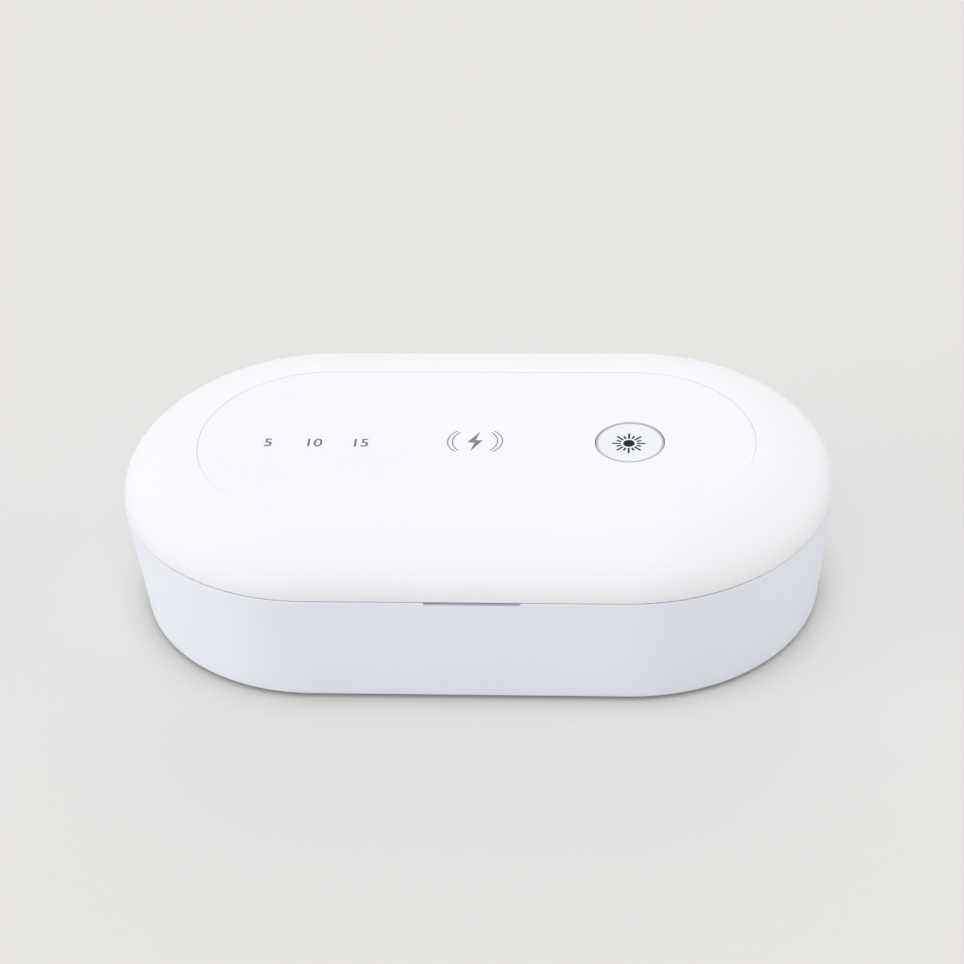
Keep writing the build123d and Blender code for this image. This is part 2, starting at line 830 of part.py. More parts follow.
def make_lid_screws():
    """The screws that hold the lid liner up in the lid shell."""
    screw = pan_screw(lid_screw_head, lid_screw_head_height, lid_screw_radius, lid_screw_length)
    return group([Pos(x, y, lid_screw_seat_z) * screw for x, y in lid_screw_places()])


def make_lid_strip_screws():
    """The screws that hold the lid's lamp boards down on the liner."""
    screw = pan_screw(small_screw_head, small_screw_head_height, small_screw_radius, strip_screw_length)
    seat_z = lid_strip_under_z + strip_thickness
    return group([Pos(x, y, seat_z) * Rot(180, 0, 0) * screw for x, y in strip_screw_places()])


def make_coil():
    """The flat charging coil: close turns of wire side by side."""
    turn_radius = coil_height / 2
    ring = coil_inner + turn_radius
    step = (coil_outer - coil_inner - coil_height) / (coil_turns - 1)
    last_ring = ring + step * (coil_turns - 1)
    turns = ring_half(ring, last_ring, panel_seat_z - coil_height, panel_seat_z - turn_radius / 2)
    for index in range(coil_turns):
        turns += Pos(ring + index * step, panel_seat_z - turn_radius) * Circle(turn_radius)
    return revolve(Plane.YZ * turns, Axis.Z, 360)


def make_ferrite():
    """The ferrite disc behind the coil."""
    high_z = panel_seat_z - coil_height
    return disc(coil_outer + ferrite_margin, high_z - ferrite_thickness, high_z)


def make_lid_board():
    """The charger's board, which also carries the button's switch."""
    board = block(lid_board_length, lid_board_width, lid_board_z, lid_board_top_z)
    for x, y in corners(lid_post_x, lid_post_y):
        board -= disc(small_screw_radius + screw_play, lid_board_z - 1, lid_board_top_z + 1, x, y)
    return board


def make_lid_board_screws():
    """The screws that hold the lid board up to the panel's posts."""
    screw = pan_screw(small_screw_head, small_screw_head_height, small_screw_radius, lid_board_screw_length)
    return group([Pos(x, y, lid_board_z) * screw for x, y in corners(lid_post_x, lid_post_y)])


def make_lid_board_chips():
    """The charger's controller and its two chokes, on top of the lid board."""
    size = charger_chip_size
    chip_x = -(coil_outer + ferrite_margin + charger_chip_gap + size / 2)
    chip = block(size, size, lid_board_top_z, lid_board_top_z + charger_chip_height, chip_x, 0)
    choke_x = chip_x - size / 2 - charger_choke_gap - charger_choke_radius
    choke_top_z = lid_board_top_z + charger_choke_height
    chokes = [
        disc(charger_choke_radius, lid_board_top_z, choke_top_z, choke_x, side * charger_choke_y)
        for side in (-1, 1)
    ]
    return group([chip, *chokes])


def make_lid_magnets():
    """The lid's magnets, which stand on the liner's plate over those of the base."""
    high_z = plate_top_z + magnet_height
    y = -(recess_radius + ceiling_thickness + fit_gap + magnet_thickness / 2)
    bars = [
        block(magnet_length, magnet_thickness, plate_top_z, high_z, side * magnet_x, y)
        for side in (-1, 1)
    ]
    return group(bars)


def make_button_ring():
    """The bright sleeve round the button, with a flange under the panel."""
    low_z = panel_seat_z - ring_flange_thickness
    sleeve = disc(ring_radius, low_z, top_z, button_x, 0)
    sleeve = chamfer(sleeve.edges().sort_by(Axis.Z)[-1], ring_edge)
    sleeve += disc(ring_radius + ring_flange_width, low_z, panel_seat_z, button_x, 0)
    return sleeve - disc(ring_radius - ring_wall, low_z - 1, top_z + 1, button_x, 0)


def make_switch():
    """The switch under the button, on the lid board, with a well for its plunger."""
    well_z = switch_top_z - plunger_sink - button_travel - plunger_play
    switch = block(switch_size, switch_size, lid_board_top_z, switch_top_z, button_x, 0)
    return switch - disc(plunger_radius + plunger_play, well_z, switch_top_z + 1, button_x, 0)


# ---- Button ----


def make_button():
    """The button cap: a shallow cup with a flange that stops it under the ring, and a stem."""
    flange_top_z = panel_seat_z - ring_flange_thickness - button_flange_gap
    flange_low_z = flange_top_z - button_flange_thickness
    face_z = top_z - button_sink
    under_z = face_z - button_cap_thickness
    cap = disc(button_cap_radius, flange_low_z, face_z, button_x, 0)
    cap = fillet(cap.edges().sort_by(Axis.Z)[-1], button_edge)
    cap += disc(button_cap_radius + button_flange_width, flange_low_z, flange_top_z, button_x, 0)
    cap -= disc(button_cap_radius - button_skirt_wall, flange_low_z - 1, under_z, button_x, 0)
    return cap + disc(stem_radius, plunger_top_z, under_z, button_x, 0)


def make_plunger():
    """The switch's plunger, which travels with the button."""
    return disc(plunger_radius, switch_top_z - plunger_sink, plunger_top_z, button_x, 0)


pieces = {
    "base_shell": make_base_shell(),
    "base_liner": make_base_liner(),
    "base_mirror": make_base_mirror(),
    "phone_rests": make_phone_rests(),
    "base_lamp_boards": make_lamp_boards(base_strip_top_z - strip_thickness),
    "base_lamps": make_lamps(base_strip_top_z, base_strip_top_z + lamp_height - lamp_well_depth),
    "base_windows": make_windows(liner_under_z + window_seat_depth - window_thickness),
    "base_strip_screws": make_base_strip_screws(),
    "rubber_feet": make_feet(),
    "base_screws": make_base_screws(),
    "main_board": make_main_board(),
    "main_board_screws": make_board_screws(),
    "main_board_chips": make_board_chips(),
    "usb_c_shell": make_socket_shell(),
    "usb_c_tongue": make_socket_tongue(),
    "hinge_pins": make_hinge_pins(),
    "base_magnets": make_base_magnets(),
    "lid_closed_sensor": make_lid_sensor(),
    "lid_shell": make_lid_shell(),
    "charging_panel": make_panel(),
    "lid_liner": make_lid_liner(),
    "lid_seal": make_lid_seal(),
    "lid_mirror": make_lid_mirror(),
    "lid_screws": make_lid_screws(),
    "lid_lamp_boards": make_lamp_boards(lid_strip_under_z),
    "lid_lamps": make_lamps(lid_strip_under_z - lamp_height, lid_strip_under_z - lamp_height),
    "lid_windows": make_windows(ceiling_top_z - window_seat_depth),
    "lid_strip_screws": make_lid_strip_screws(),
    "charging_coil": make_coil(),
    "ferrite_disc": make_ferrite(),
    "lid_board": make_lid_board(),
    "lid_board_screws": make_lid_board_screws(),
    "lid_board_chips": make_lid_board_chips(),
    "lid_magnets": make_lid_magnets(),
    "button_ring": make_button_ring(),
    "button_switch": make_switch(),
    "uv_button": make_button(),
    "switch_plunger": make_plunger(),
}

os.makedirs("parts", exist_ok=True)
for name, shape in pieces.items():
    export_step(shape, f"parts/{name}.step")
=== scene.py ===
import math

import bmesh
import bpy
from mathutils import Matrix, Vector


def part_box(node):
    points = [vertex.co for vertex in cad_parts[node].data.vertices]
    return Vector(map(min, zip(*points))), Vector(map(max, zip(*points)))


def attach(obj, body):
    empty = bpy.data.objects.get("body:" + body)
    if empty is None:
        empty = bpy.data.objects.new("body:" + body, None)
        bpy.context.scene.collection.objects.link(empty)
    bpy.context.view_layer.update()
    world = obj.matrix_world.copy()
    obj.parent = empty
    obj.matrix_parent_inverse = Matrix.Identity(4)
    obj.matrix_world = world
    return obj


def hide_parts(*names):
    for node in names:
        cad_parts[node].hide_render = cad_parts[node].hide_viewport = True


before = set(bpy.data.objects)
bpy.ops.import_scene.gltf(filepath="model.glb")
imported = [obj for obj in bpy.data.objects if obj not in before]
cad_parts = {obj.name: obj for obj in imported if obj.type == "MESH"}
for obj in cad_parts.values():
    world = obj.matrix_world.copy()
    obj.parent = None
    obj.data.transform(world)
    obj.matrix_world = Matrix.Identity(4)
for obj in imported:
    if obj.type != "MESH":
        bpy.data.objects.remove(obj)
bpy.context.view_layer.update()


# ---- Base shell ----
# The outer tub of the box: white ABS with a trace of blue, injection moulded in one piece with its
# posts and hinge knuckles. Its colour is bluer than the lid's by painted shade, the cool tint of
# its shaded walls. The tool was finely spark eroded, so the wall is satin, not glossy.
MM = 0.001


class Wire:
    """A socket of a finish. Operators between wires and numbers add Math nodes."""

    def __init__(self, finish, socket):
        self.finish = finish
        self.socket = socket

    def math(self, operation, first, second):
        return self.finish.node("Math", {"operation": operation}, {0: first, 1: second})

    def __add__(self, other):
        return self.math("ADD", self, other)

    __radd__ = __add__

    def __sub__(self, other):
        return self.math("SUBTRACT", self, other)

    def __rsub__(self, other):
        return self.math("SUBTRACT", other, self)

    def __mul__(self, other):
        return self.math("MULTIPLY", self, other)

    __rmul__ = __mul__

    def __gt__(self, other):
        return self.math("GREATER_THAN", self, other)

    def __lt__(self, other):
        return self.math("LESS_THAN", self, other)


class Finish:
    """A material and its nodes; sizes of its patterns are in millimetres."""

    def __init__(self, name, **constants):
        self.material = bpy.data.materials.new(name)
        self.material.use_nodes = True
        self.tree = self.material.node_tree
        self.shader = self.tree.nodes["Principled BSDF"]
        self.feed(**constants)

    def join(self, socket, value):
        if isinstance(value, Wire):
            self.tree.links.new(value.socket, socket)
        else:
            socket.default_value = value

    def node(self, kind, settings=None, sockets=None, out=0):
        made = self.tree.nodes.new("ShaderNode" + kind)
        for name, value in (settings or {}).items():
            setattr(made, name, value)
        for name, value in (sockets or {}).items():
            self.join(made.inputs[name], value)
        return Wire(self, made.outputs[out])

    def feed(self, **sockets):
        for name, value in sockets.items():
            self.join(self.shader.inputs[name.replace("_", " ")], value)

    def mix(self, amount, first, second):
        """A colour between two, by a mask."""
        return self.node("Mix", {"data_type": "RGBA"}, {0: amount, 6: first, 7: second}, 2)

    def spot(self, stretch=(1, 1, 1)):
        """Where a point lies on its piece, stretched to draw a pattern out into streaks."""
        here = self.node("TexCoord", out="Object")
        return self.node("Mapping", {}, {"Vector": here, "Scale": stretch})

    def speckle(self, size, stretch=(1, 1, 1), detail=2.0):
        """Noise from 0 to 1, in lumps of about this size."""
        sockets = {"Vector": self.spot(stretch), "Scale": 1 / (size * MM), "Detail": detail}
        return self.node("TexNoise", {}, sockets)

    def relief(self, height, depth):
        """Raises the surface by a height from 0 to 1, times a depth."""
        sockets = {"Height": height, "Strength": 1.0, "Distance": depth * MM}
        self.feed(Normal=self.node("Bump", {}, sockets, "Normal"))


def colour(*levels):
    """The linear colour of one given as it looks on a screen, from 0 to 255."""
    return (*(((level / 255 + 0.055) / 1.055) ** 2.4 for level in levels), 1.0)


def moulded(name, face, shade, roughness):
    """Satin moulded plastic: fine tool texture, and a colour that isn't quite even."""
    finish = Finish(name, IOR=1.49)
    texture = finish.speckle(0.32)
    flow = finish.speckle(38.0, detail=1.0)
    finish.feed(
        Base_Color=finish.mix(flow, face, shade),
        Roughness=roughness + (texture - 0.5) * 0.12,
    )
    finish.relief(texture, depth=0.0025)
    return finish


def dress(finish, *names):
    """Gives carried-over pieces their finish."""
    for name in names:
        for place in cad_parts[name].material_slots:
            place.material = finish.material


# The base's colour carries painted shade: it is bluer than the lid's, as its shaded walls look.
base_white = moulded("base_white", colour(235, 240, 249), colour(233, 238, 247), roughness=0.5)
dress(base_white, "base_shell")


# ---- Hinge pins ----
# Two ground stainless pins on the hinge's axis, pushed in from the ends of the barrel. They stay in
# the base's knuckles, and the ends of the lid's long knuckle turn on them.
def worked_metal(name, bright, dull, roughness, lay, marks=0.15):
    """Bare metal, with the fine marks of its making drawn out along the lay."""
    finish = Finish(name, Metallic=1.0)
    scratches = finish.speckle(marks, stretch=lay)
    tarnish = finish.speckle(5.0)
    finish.feed(
        Base_Color=finish.mix(tarnish, bright, dull),
        Roughness=roughness + (scratches - 0.5) * 0.18,
    )
    finish.relief(scratches, depth=0.001)
    return finish


pin_steel = worked_metal(
    "pin_steel", colour(196, 198, 200), colour(170, 172, 176), roughness=0.26, lay=(1, 0.04, 0.04),
)
dress(pin_steel, "hinge_pins")


# ---- Rubber feet ----
# Four moulded rubber pads, glued into the floor over the screws. Each has a rounded rim, and two
# raised rings under it that grip the table.
def lathe(outline, steps):
    """A shape turned about Z from its outline of (radius, height), in millimetres."""
    shape = bmesh.new()
    points = [shape.verts.new((radius, 0, height)) for radius, height in outline]
    lines = [shape.edges.new(ends) for ends in zip(points, points[1:])]
    turn = {"cent": (0, 0, 0), "axis": (0, 0, 1), "angle": math.tau, "steps": steps}
    bmesh.ops.spin(shape, geom=points + lines, use_merge=True, **turn)
    bmesh.ops.remove_doubles(shape, verts=shape.verts[:], dist=0.001)
    bmesh.ops.recalc_face_normals(shape, faces=shape.faces[:])
    return shape


def set_out(shape, places):
    """One shape repeated at each place, a point or a matrix; the pattern is used up."""
    whole = bmesh.new()
    pattern = bpy.data.meshes.new("pattern")
    shape.to_mesh(pattern)
    shape.free()
    for place in places:
        first = len(whole.verts)
        whole.from_mesh(pattern)
        whole.verts.ensure_lookup_table()
        move = place if isinstance(place, Matrix) else Matrix.Translation(place)
        bmesh.ops.transform(whole, matrix=move, verts=whole.verts[first:])
    bpy.data.meshes.remove(pattern)
    return whole


def add_piece(name, shape, body, finish, stands_for=(), crease=35):
    """Makes a shape in millimetres a piece of the box that rides on a body."""
    bmesh.ops.scale(shape, vec=(MM, MM, MM), verts=shape.verts[:])
    for face in shape.faces:
        face.smooth = True
    mesh = bpy.data.meshes.new(name)
    shape.to_mesh(mesh)
    shape.free()
    mesh.set_sharp_from_angle(angle=math.radians(crease))
    mesh.materials.append(finish.material)
    piece = bpy.data.objects.new(name, mesh)
    bpy.context.scene.collection.objects.link(piece)
    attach(piece, body)
    if stands_for:
        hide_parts(*stands_for)


def span(node):
    """The lowest and highest corner of a carried-over piece, in millimetres."""
    low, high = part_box(node)
    return Vector(low) / MM, Vector(high) / MM


def four_corners(node, radius, z):
    """The centres of four like round pieces at the corners of their node."""
    low, high = span(node)
    return [
        (x, y, z)
        for x in (low.x + radius, high.x - radius)
        for y in (low.y + radius, high.y - radius)
    ]


foot_radius = 7.5
foot_top = 2.3
plug_radius = 2.9
plug_top = 2.6
foot_outline = [
    (0, 0.45), (2.4, 0.45), (2.75, 0.1), (3.0, 0), (4.0, 0), (4.3, 0.1), (4.6, 0.4),
    (5.0, 0.4), (5.3, 0.1), (5.6, 0), (6.6, 0), (7.1, 0.15), (7.4, 0.5), (foot_radius, 1.0),
    (foot_radius, foot_top), (plug_radius, foot_top), (plug_radius, plug_top), (0, plug_top),
]

foot_rubber = Finish("foot_rubber", IOR=1.5)
grit = foot_rubber.speckle(0.2)
dust = foot_rubber.speckle(3.0)
foot_rubber.feed(
    Base_Color=foot_rubber.mix(dust, colour(74, 76, 80), colour(92, 94, 98)),
    Roughness=0.72 + grit * 0.2,
)
foot_rubber.relief(grit, depth=0.01)
add_piece(
    "rubber_pads",
    set_out(lathe(foot_outline, steps=64), four_corners("rubber_feet", foot_radius, 0)),
    "base", foot_rubber, ["rubber_feet"],
)


# ---- Base screws ----
# Four cross-recessed screws under the feet that pull the liner's bosses down onto the shell.
# Zinc-plated steel, with a thread rolled for plastic.
def edges_at(points):
    """The edges that meet at some points of a shape, each once and in a steady order."""
    return list(dict.fromkeys(edge for point in points for edge in point.link_edges))


def draw_out(shape, loop, radius, z):
    """Draws a round loop of edges on to another radius and height; returns the new loop."""
    made = bmesh.ops.extrude_edge_only(shape, edges=loop)["geom"]
    points = [part for part in made if isinstance(part, bmesh.types.BMVert)]
    for point in points:
        flat = Vector((point.co.x, point.co.y)).normalized() * radius
        point.co = (flat.x, flat.y, z)
    return [part for part in made if isinstance(part, bmesh.types.BMEdge)]


def cross_screw(head, height, shank, length):
    """A pan-head screw, tip up, with the bearing face of its head at z = 0."""
    screw = bmesh.new()
    arm, half = 0.6 * head, 0.12 * head
    recess_depth = 0.62 * height
    recess_taper = 0.72
    corner = [(arm, -half), (arm, half), (half, half)]
    cross = []
    for quarter in range(4):
        turn = Matrix.Rotation(quarter * math.pi / 2, 3, "Z")
        cross += [screw.verts.new(turn @ Vector((x, y, -height))) for x, y in corner]
    recess = screw.faces.new(cross)
    recess_rim = recess.edges[:]
    bottom = bmesh.ops.extrude_discrete_faces(screw, faces=[recess])["faces"][0]
    bmesh.ops.translate(screw, vec=(0, 0, recess_depth), verts=bottom.verts[:])
    bmesh.ops.scale(screw, vec=(recess_taper, recess_taper, 1), verts=bottom.verts[:])

    crown = bmesh.ops.create_circle(screw, segments=24, radius=0.7 * head)["verts"]
    bmesh.ops.translate(screw, vec=(0, 0, -height), verts=crown)
    loop = edges_at(crown)
    bmesh.ops.bridge_loops(screw, edges=recess_rim + loop)
    core = 0.8 * shank
    profile = [
        (0.92 * head, -0.78 * height), (head, -0.35 * height), (head, 0),
        (core, 0), (core, length - shank), (0.3 * shank, length),
    ]
    for radius, z in profile:
        loop = draw_out(screw, loop, radius, z)
    bmesh.ops.contextual_create(screw, geom=loop)

    pitch = 0.85 * shank
    half_ridge = 0.28 * pitch
    root = core - 0.05
    thread_foot = 0.3 * pitch
    turns = (length - 1.3 * shank) / pitch - 0.6
    steps = round(16 * turns)
    ridge = [(root, 0), (shank, half_ridge), (root, 2 * half_ridge)]
    wedge = screw.faces.new([screw.verts.new((x, 0, thread_foot + z)) for x, z in ridge])
    helix = {"cent": (0, 0, 0), "axis": (0, 0, 1), "angle": turns * math.tau, "steps": steps}
    geometry = [wedge, *wedge.edges, *wedge.verts]
    bmesh.ops.spin(screw, geom=geometry, dvec=(0, 0, turns * pitch / steps), **helix)
    bmesh.ops.recalc_face_normals(screw, faces=screw.faces[:])
    return screw


screw_zinc = worked_metal(
    "screw_zinc", colour(188, 190, 192), colour(158, 160, 164), roughness=0.3, lay=(1, 1, 0.3),
)
base_head = 2.8
base_head_height = 1.8
base_shank = 1.4
base_screw_low, base_screw_high = span("base_screws")
base_bearing = base_screw_low.z + base_head_height
base_screw = cross_screw(
    base_head, base_head_height, base_shank, base_screw_high.z - base_bearing,
)
add_piece(
    "base_cross_screws",
    set_out(base_screw, four_corners("base_screws", base_head, base_bearing)),
    "base", screw_zinc, ["base_screws"],
)


# ---- Main board ----
# Glass-fibre board on four posts at the back, with the supply socket on its rear edge. Green mask
# over copper tracks that show as paler lines, tinned holes, and bare yellowish edges where it was
# routed out of its sheet.
def stripes(finish, direction, pitch):
    """Soft stripes from 0 to 1 along a direction, one to every pitch."""
    metres_at_scale_1 = 0.314
    sockets = {"Vector": finish.spot(), "Scale": metres_at_scale_1 / (pitch * MM)}
    return finish.node("TexWave", {"bands_direction": direction}, sockets, "Fac")


def cells(finish, size, out="Distance", **settings):
    """A pattern of cells of about this size."""
    sockets = {"Vector": finish.spot(), "Scale": 1 / (size * MM)}
    return finish.node("TexVoronoi", settings, sockets, out)


def circuit_board(name, mask, track, edge, pitch):
    """A board's printed faces: tracks that change direction by patches, and tinned holes."""
    finish = Finish(name, IOR=1.5)
    patch = cells(finish, 7.0, "Color", distance="CHEBYCHEV")
    turned = finish.node("SeparateColor", {}, {0: patch}) > 0.5
    track_x, track_y = (stripes(finish, way, pitch) > 0.62 for way in ("X", "Y"))
    run = track_x * turned + track_y * (1 - turned)
    up = finish.node("SeparateXYZ", {}, {0: finish.node("NewGeometry", out="Normal")}, "Z")
    face = up * up > 0.5
    hole = (cells(finish, 3.4) < 0.16) * face
    tin = colour(206, 208, 206)
    masked = finish.mix(run, mask, track)
    finish.feed(
        Base_Color=finish.mix(face, edge, finish.mix(hole, masked, tin)),
        Roughness=0.62 - face * 0.3 + finish.speckle(0.4) * 0.08,
        Metallic=hole * 0.9,
    )
    finish.relief(run * face, depth=0.02)
    return finish


green_board = circuit_board(
    "green_board", colour(24, 92, 58), colour(44, 128, 84), colour(196, 186, 140), pitch=0.9,
)
dress(green_board, "main_board", "lid_board")


# ---- Main board screws ----
# Four small pan-head screws through the board's corners into the posts. They are zinc-plated and
# have a cross recess, as all the screws of the box do.
small_head = 1.7
small_head_height = 0.8
small_shank = 0.95


def small_screws(name, body, node):
    """A board's four screws, drawn tips down, in place of their plain solids."""
    low, high = span(node)
    bearing = high.z - small_head_height
    screw = cross_screw(small_head, small_head_height, small_shank, bearing - low.z)
    tip_down = Matrix.Rotation(math.pi, 4, "X")
    corners = four_corners(node, small_head, bearing)
    places = [Matrix.Translation(corner) @ tip_down for corner in corners]
    add_piece(name, set_out(screw, places), body, screw_zinc, [node])


small_screws("main_board_cross_screws", "base", "main_board_screws")


# ---- Main board parts ----
# The controller in black epoxy with tinned legs, the supply's drum choke, the lamps' white nylon
# plug with its pins, and a row of small ceramic capacitors with tinned ends.
def bar(shape, size, centre, round_off=0.0):
    """Adds a bar to a shape, its edges eased."""
    place = Matrix.Translation(centre) @ Matrix.Diagonal((*size, 1))
    corners = bmesh.ops.create_cube(shape, size=1, matrix=place)["verts"]
    if round_off:
        ease = {"offset": round_off, "segments": 2, "affect": "EDGES", "profile": 0.5}
        bmesh.ops.bevel(shape, geom=edges_at(corners), material=-1, **ease)


def row(count, pitch):
    """How far from the middle each piece of an even row stands."""
    return [(index - (count - 1) / 2) * pitch for index in range(count)]


chip_size = 7.0
chip_height = 1.0
chip_lift = 0.15
legs_a_side = 6
leg_pitch = 1.05
leg_reach = 0.6
leg_width = 0.45
leg_gauge = 0.16


def gull_leg(shape, x, y, z, out, rise):
    """One leg beside a chip: a shoulder out of the case, a drop, and a foot on the board."""
    shoulder, bend, foot = 0.5, 0.45, 0.6
    middle = y + out * bend
    bar(shape, (leg_width, shoulder, leg_gauge), (x, middle - out * shoulder / 2, z + rise))
    bar(shape, (leg_width, leg_gauge, rise), (x, middle, z + rise / 2))
    bar(shape, (leg_width, foot, leg_gauge), (x, middle + out * foot / 2, z + leg_gauge / 2))


def chip_and_legs(name, body, node, x, y, z):
    """A square chip with legs on two sides, standing on a board."""
    case, legs = bmesh.new(), bmesh.new()
    case_width = chip_size - 2 * leg_reach
    case_size = (chip_size, case_width, chip_height - chip_lift)
    bar(case, case_size, (x, y, z + (chip_height + chip_lift) / 2), round_off=0.18)
    for leg_x in row(legs_a_side, leg_pitch):
        for side in (-1, 1):
            gull_leg(legs, x + leg_x, y + side * case_width / 2, z, side, chip_height / 2)
    add_piece(name, case, body, chip_epoxy, [node])
    add_piece(name + "_legs", legs, body, tinned)


def drum_choke(name, body, node, places, radius, height):
    """Ferrite drums with a copper winding round each waist."""
    rim, waist, wound = 0.94 * radius, 0.66 * radius, 0.9 * radius
    waist_foot, waist_top = 0.26 * height, 0.74 * height
    drum = [
        (0, 0), (rim, 0), (radius, 0.06 * height), (radius, 0.2 * height),
        (waist, waist_foot), (waist, waist_top),
        (radius, 0.8 * height), (radius, 0.94 * height), (rim, height), (0, height),
    ]
    turns = 4
    wire = (waist_top - waist_foot) / turns
    winding = [(waist, waist_foot)]
    for turn in range(turns):
        foot = waist_foot + turn * wire
        winding += [(wound, foot), (wound + 0.4 * wire, foot + wire / 2)]
    winding += [(wound, waist_top), (waist, waist_top)]
    add_piece(name, set_out(lathe(drum, steps=32), places), body, drum_ferrite, [node])
    coils = set_out(lathe(winding, steps=32), places)
    add_piece(name + "_winding", coils, body, coil_copper)


def capacitors(name, body, places):
    """Small ceramic capacitors, tan in the middle and tinned at both ends."""
    block, block_z = (1.2, 1.2, 0.85), 0.45
    cap, cap_x, cap_z = (0.42, 1.28, 0.93), 0.79, 0.465
    blocks, caps = bmesh.new(), bmesh.new()
    for x, y, z in places:
        bar(blocks, block, (x, y, z + block_z), round_off=0.06)
        for side in (-1, 1):
            bar(caps, cap, (x + side * cap_x, y, z + cap_z), round_off=0.08)
    add_piece(name, blocks, body, tan_ceramic)
    add_piece(name + "_ends", caps, body, tinned)


chip_epoxy = Finish("chip_epoxy", IOR=1.55)
filler = chip_epoxy.speckle(0.12)
chip_epoxy.feed(
    Base_Color=chip_epoxy.mix(filler, colour(36, 36, 38), colour(52, 52, 55)),
    Roughness=0.5 + filler * 0.25,
)
chip_epoxy.relief(filler, depth=0.006)
tinned = worked_metal(
    "tinned", colour(205, 207, 208), colour(182, 184, 186), roughness=0.34, lay=(1, 1, 1),
    marks=0.3,
)
drum_ferrite = Finish("drum_ferrite", IOR=1.6)
pores = drum_ferrite.speckle(0.25)
drum_ferrite.feed(
    Base_Color=drum_ferrite.mix(pores, colour(58, 58, 60), colour(84, 84, 86)),
    Roughness=0.55 + pores * 0.2,
)
drum_ferrite.relief(pores, depth=0.01)
coil_copper = worked_metal(
    "coil_copper", colour(196, 118, 70), colour(170, 92, 52), roughness=0.3, lay=(1, 1, 1),
    marks=0.4,
)
tan_ceramic = Finish("tan_ceramic", IOR=1.6)
fired = tan_ceramic.speckle(0.3)
tan_ceramic.feed(
    Base_Color=tan_ceramic.mix(fired, colour(176, 148, 112), colour(156, 128, 94)),
    Roughness=0.4 + fired * 0.2,
)
tan_ceramic.relief(fired, depth=0.005)
white_nylon = moulded("white_nylon", colour(236, 232, 220), colour(228, 223, 208), roughness=0.46)

board_face = span("main_board")[1].z
parts_low, parts_high = span("main_board_chips")
parts_line = (parts_low.y + parts_high.y) / 2
chip_and_legs(
    "control_chip", "base", "main_board_chips", parts_low.x + chip_size / 2, parts_line, board_face,
)
supply_choke_x = -3.0
drum_choke(
    "supply_choke", "base", "main_board_chips", [(supply_choke_x, parts_line, board_face)],
    radius=3.6, height=2.4,
)

plug_size = (10.0, 4.2, 2.4)
plug_wall = 0.55
plug_depth = 1.7
plug_x = parts_high.x - plug_size[0] / 2
plug = bmesh.new()
bar(plug, plug_size, (plug_x, parts_line, board_face + plug_size[2] / 2))
plug_mouth = max(plug.faces, key=lambda face: face.calc_center_median().z)
bmesh.ops.inset_region(plug, faces=[plug_mouth], thickness=plug_wall, depth=0)
plug_floor = bmesh.ops.extrude_discrete_faces(plug, faces=[plug_mouth])["faces"][0]
bmesh.ops.translate(plug, vec=(0, 0, -plug_depth), verts=plug_floor.verts[:])
add_piece("lamp_plug", plug, "base", white_nylon, ["main_board_chips"])
pin_count = 4
pin_pitch = 2.0
pin_size = (0.5, 0.5, 1.5)
pin_z = board_face + 1.4
plug_pins = bmesh.new()
for pin_x in row(pin_count, pin_pitch):
    bar(plug_pins, pin_size, (plug_x + pin_x, parts_line, pin_z), round_off=0.08)
add_piece("lamp_plug_pins", plug_pins, "base", tinned)

capacitor_count = 6
capacitor_pitch = 5.0
capacitor_x = 0.5
capacitor_y = parts_high.y + 2.8
capacitors(
    "board_capacitors", "base",
    [(capacitor_x + x, capacitor_y, board_face) for x in row(capacitor_count, capacitor_pitch)],
)


# ---- Supply socket ----
# A deep-drawn nickel-plated steel shell with rounded ends, and a black tongue inside that carries
# twelve gold contacts on each face.
socket_nickel = worked_metal(
    "socket_nickel", colour(202, 200, 196), colour(184, 182, 178), roughness=0.24, lay=(1, 0.1, 1),
)
dress(socket_nickel, "usb_c_shell")
dress(chip_epoxy, "usb_c_tongue")
contact_gold = worked_metal(
    "contact_gold", colour(226, 184, 108), colour(208, 164, 88), roughness=0.22, lay=(1, 0.1, 1),
)
contact_size = (0.26, 4.2, 0.04)
contact_pitch = 0.5
contact_count = 12
tongue_low, tongue_high = span("usb_c_tongue")
tongue_x = (tongue_low.x + tongue_high.x) / 2
contact_y = tongue_high.y - 2.5
contacts = bmesh.new()
for contact_x in row(contact_count, contact_pitch):
    for face_z in (tongue_low.z, tongue_high.z):
        bar(contacts, contact_size, (tongue_x + contact_x, contact_y, face_z), round_off=0.01)
add_piece("socket_contacts", contacts, "base", contact_gold)


# ---- Base liner, its magnets and the sensor ----
# The inner tub of glossy white ABS that closes the chamber, with the lip that shades the seam. Two
# nickel-plated magnets and the sensor that turns the lamps off with the lid sit under its flange.
liner_white = moulded("liner_white", colour(238, 240, 246), colour(233, 236, 243), roughness=0.3)
dress(liner_white, "base_liner", "lid_liner")
magnet_nickel = worked_metal(
    "magnet_nickel", colour(204, 204, 202), colour(186, 186, 186), roughness=0.16, lay=(1, 1, 1),
    marks=0.5,
)
dress(magnet_nickel, "base_magnets", "lid_magnets")
sensor_epoxy = moulded("sensor_epoxy", colour(48, 48, 52), colour(60, 60, 64), roughness=0.5)
dress(sensor_epoxy, "lid_closed_sensor")


# ---- Base lamps, their boards and screws ----
# Two aluminium-cored boards in white mask under the chamber's floor. Each lamp is a fired ceramic
# cup with a gilt floor, and one dark ultraviolet die soldered in the middle of it.
white_board = circuit_board(
    "white_board", colour(232, 232, 228), colour(214, 216, 214), colour(186, 188, 190), pitch=1.6,
)
dress(white_board, "base_lamp_boards", "lid_lamp_boards")
small_screws("base_strip_cross_screws", "base", "base_strip_screws")

lamp_ceramic = Finish("lamp_ceramic", IOR=1.7)
glaze = lamp_ceramic.speckle(0.15)
lamp_ceramic.feed(
    Base_Color=lamp_ceramic.mix(glaze, colour(236, 232, 222), colour(222, 217, 204)),
    Roughness=0.36 + glaze * 0.2,
)
lamp_ceramic.relief(glaze, depth=0.004)
dress(lamp_ceramic, "base_lamps", "lid_lamps")

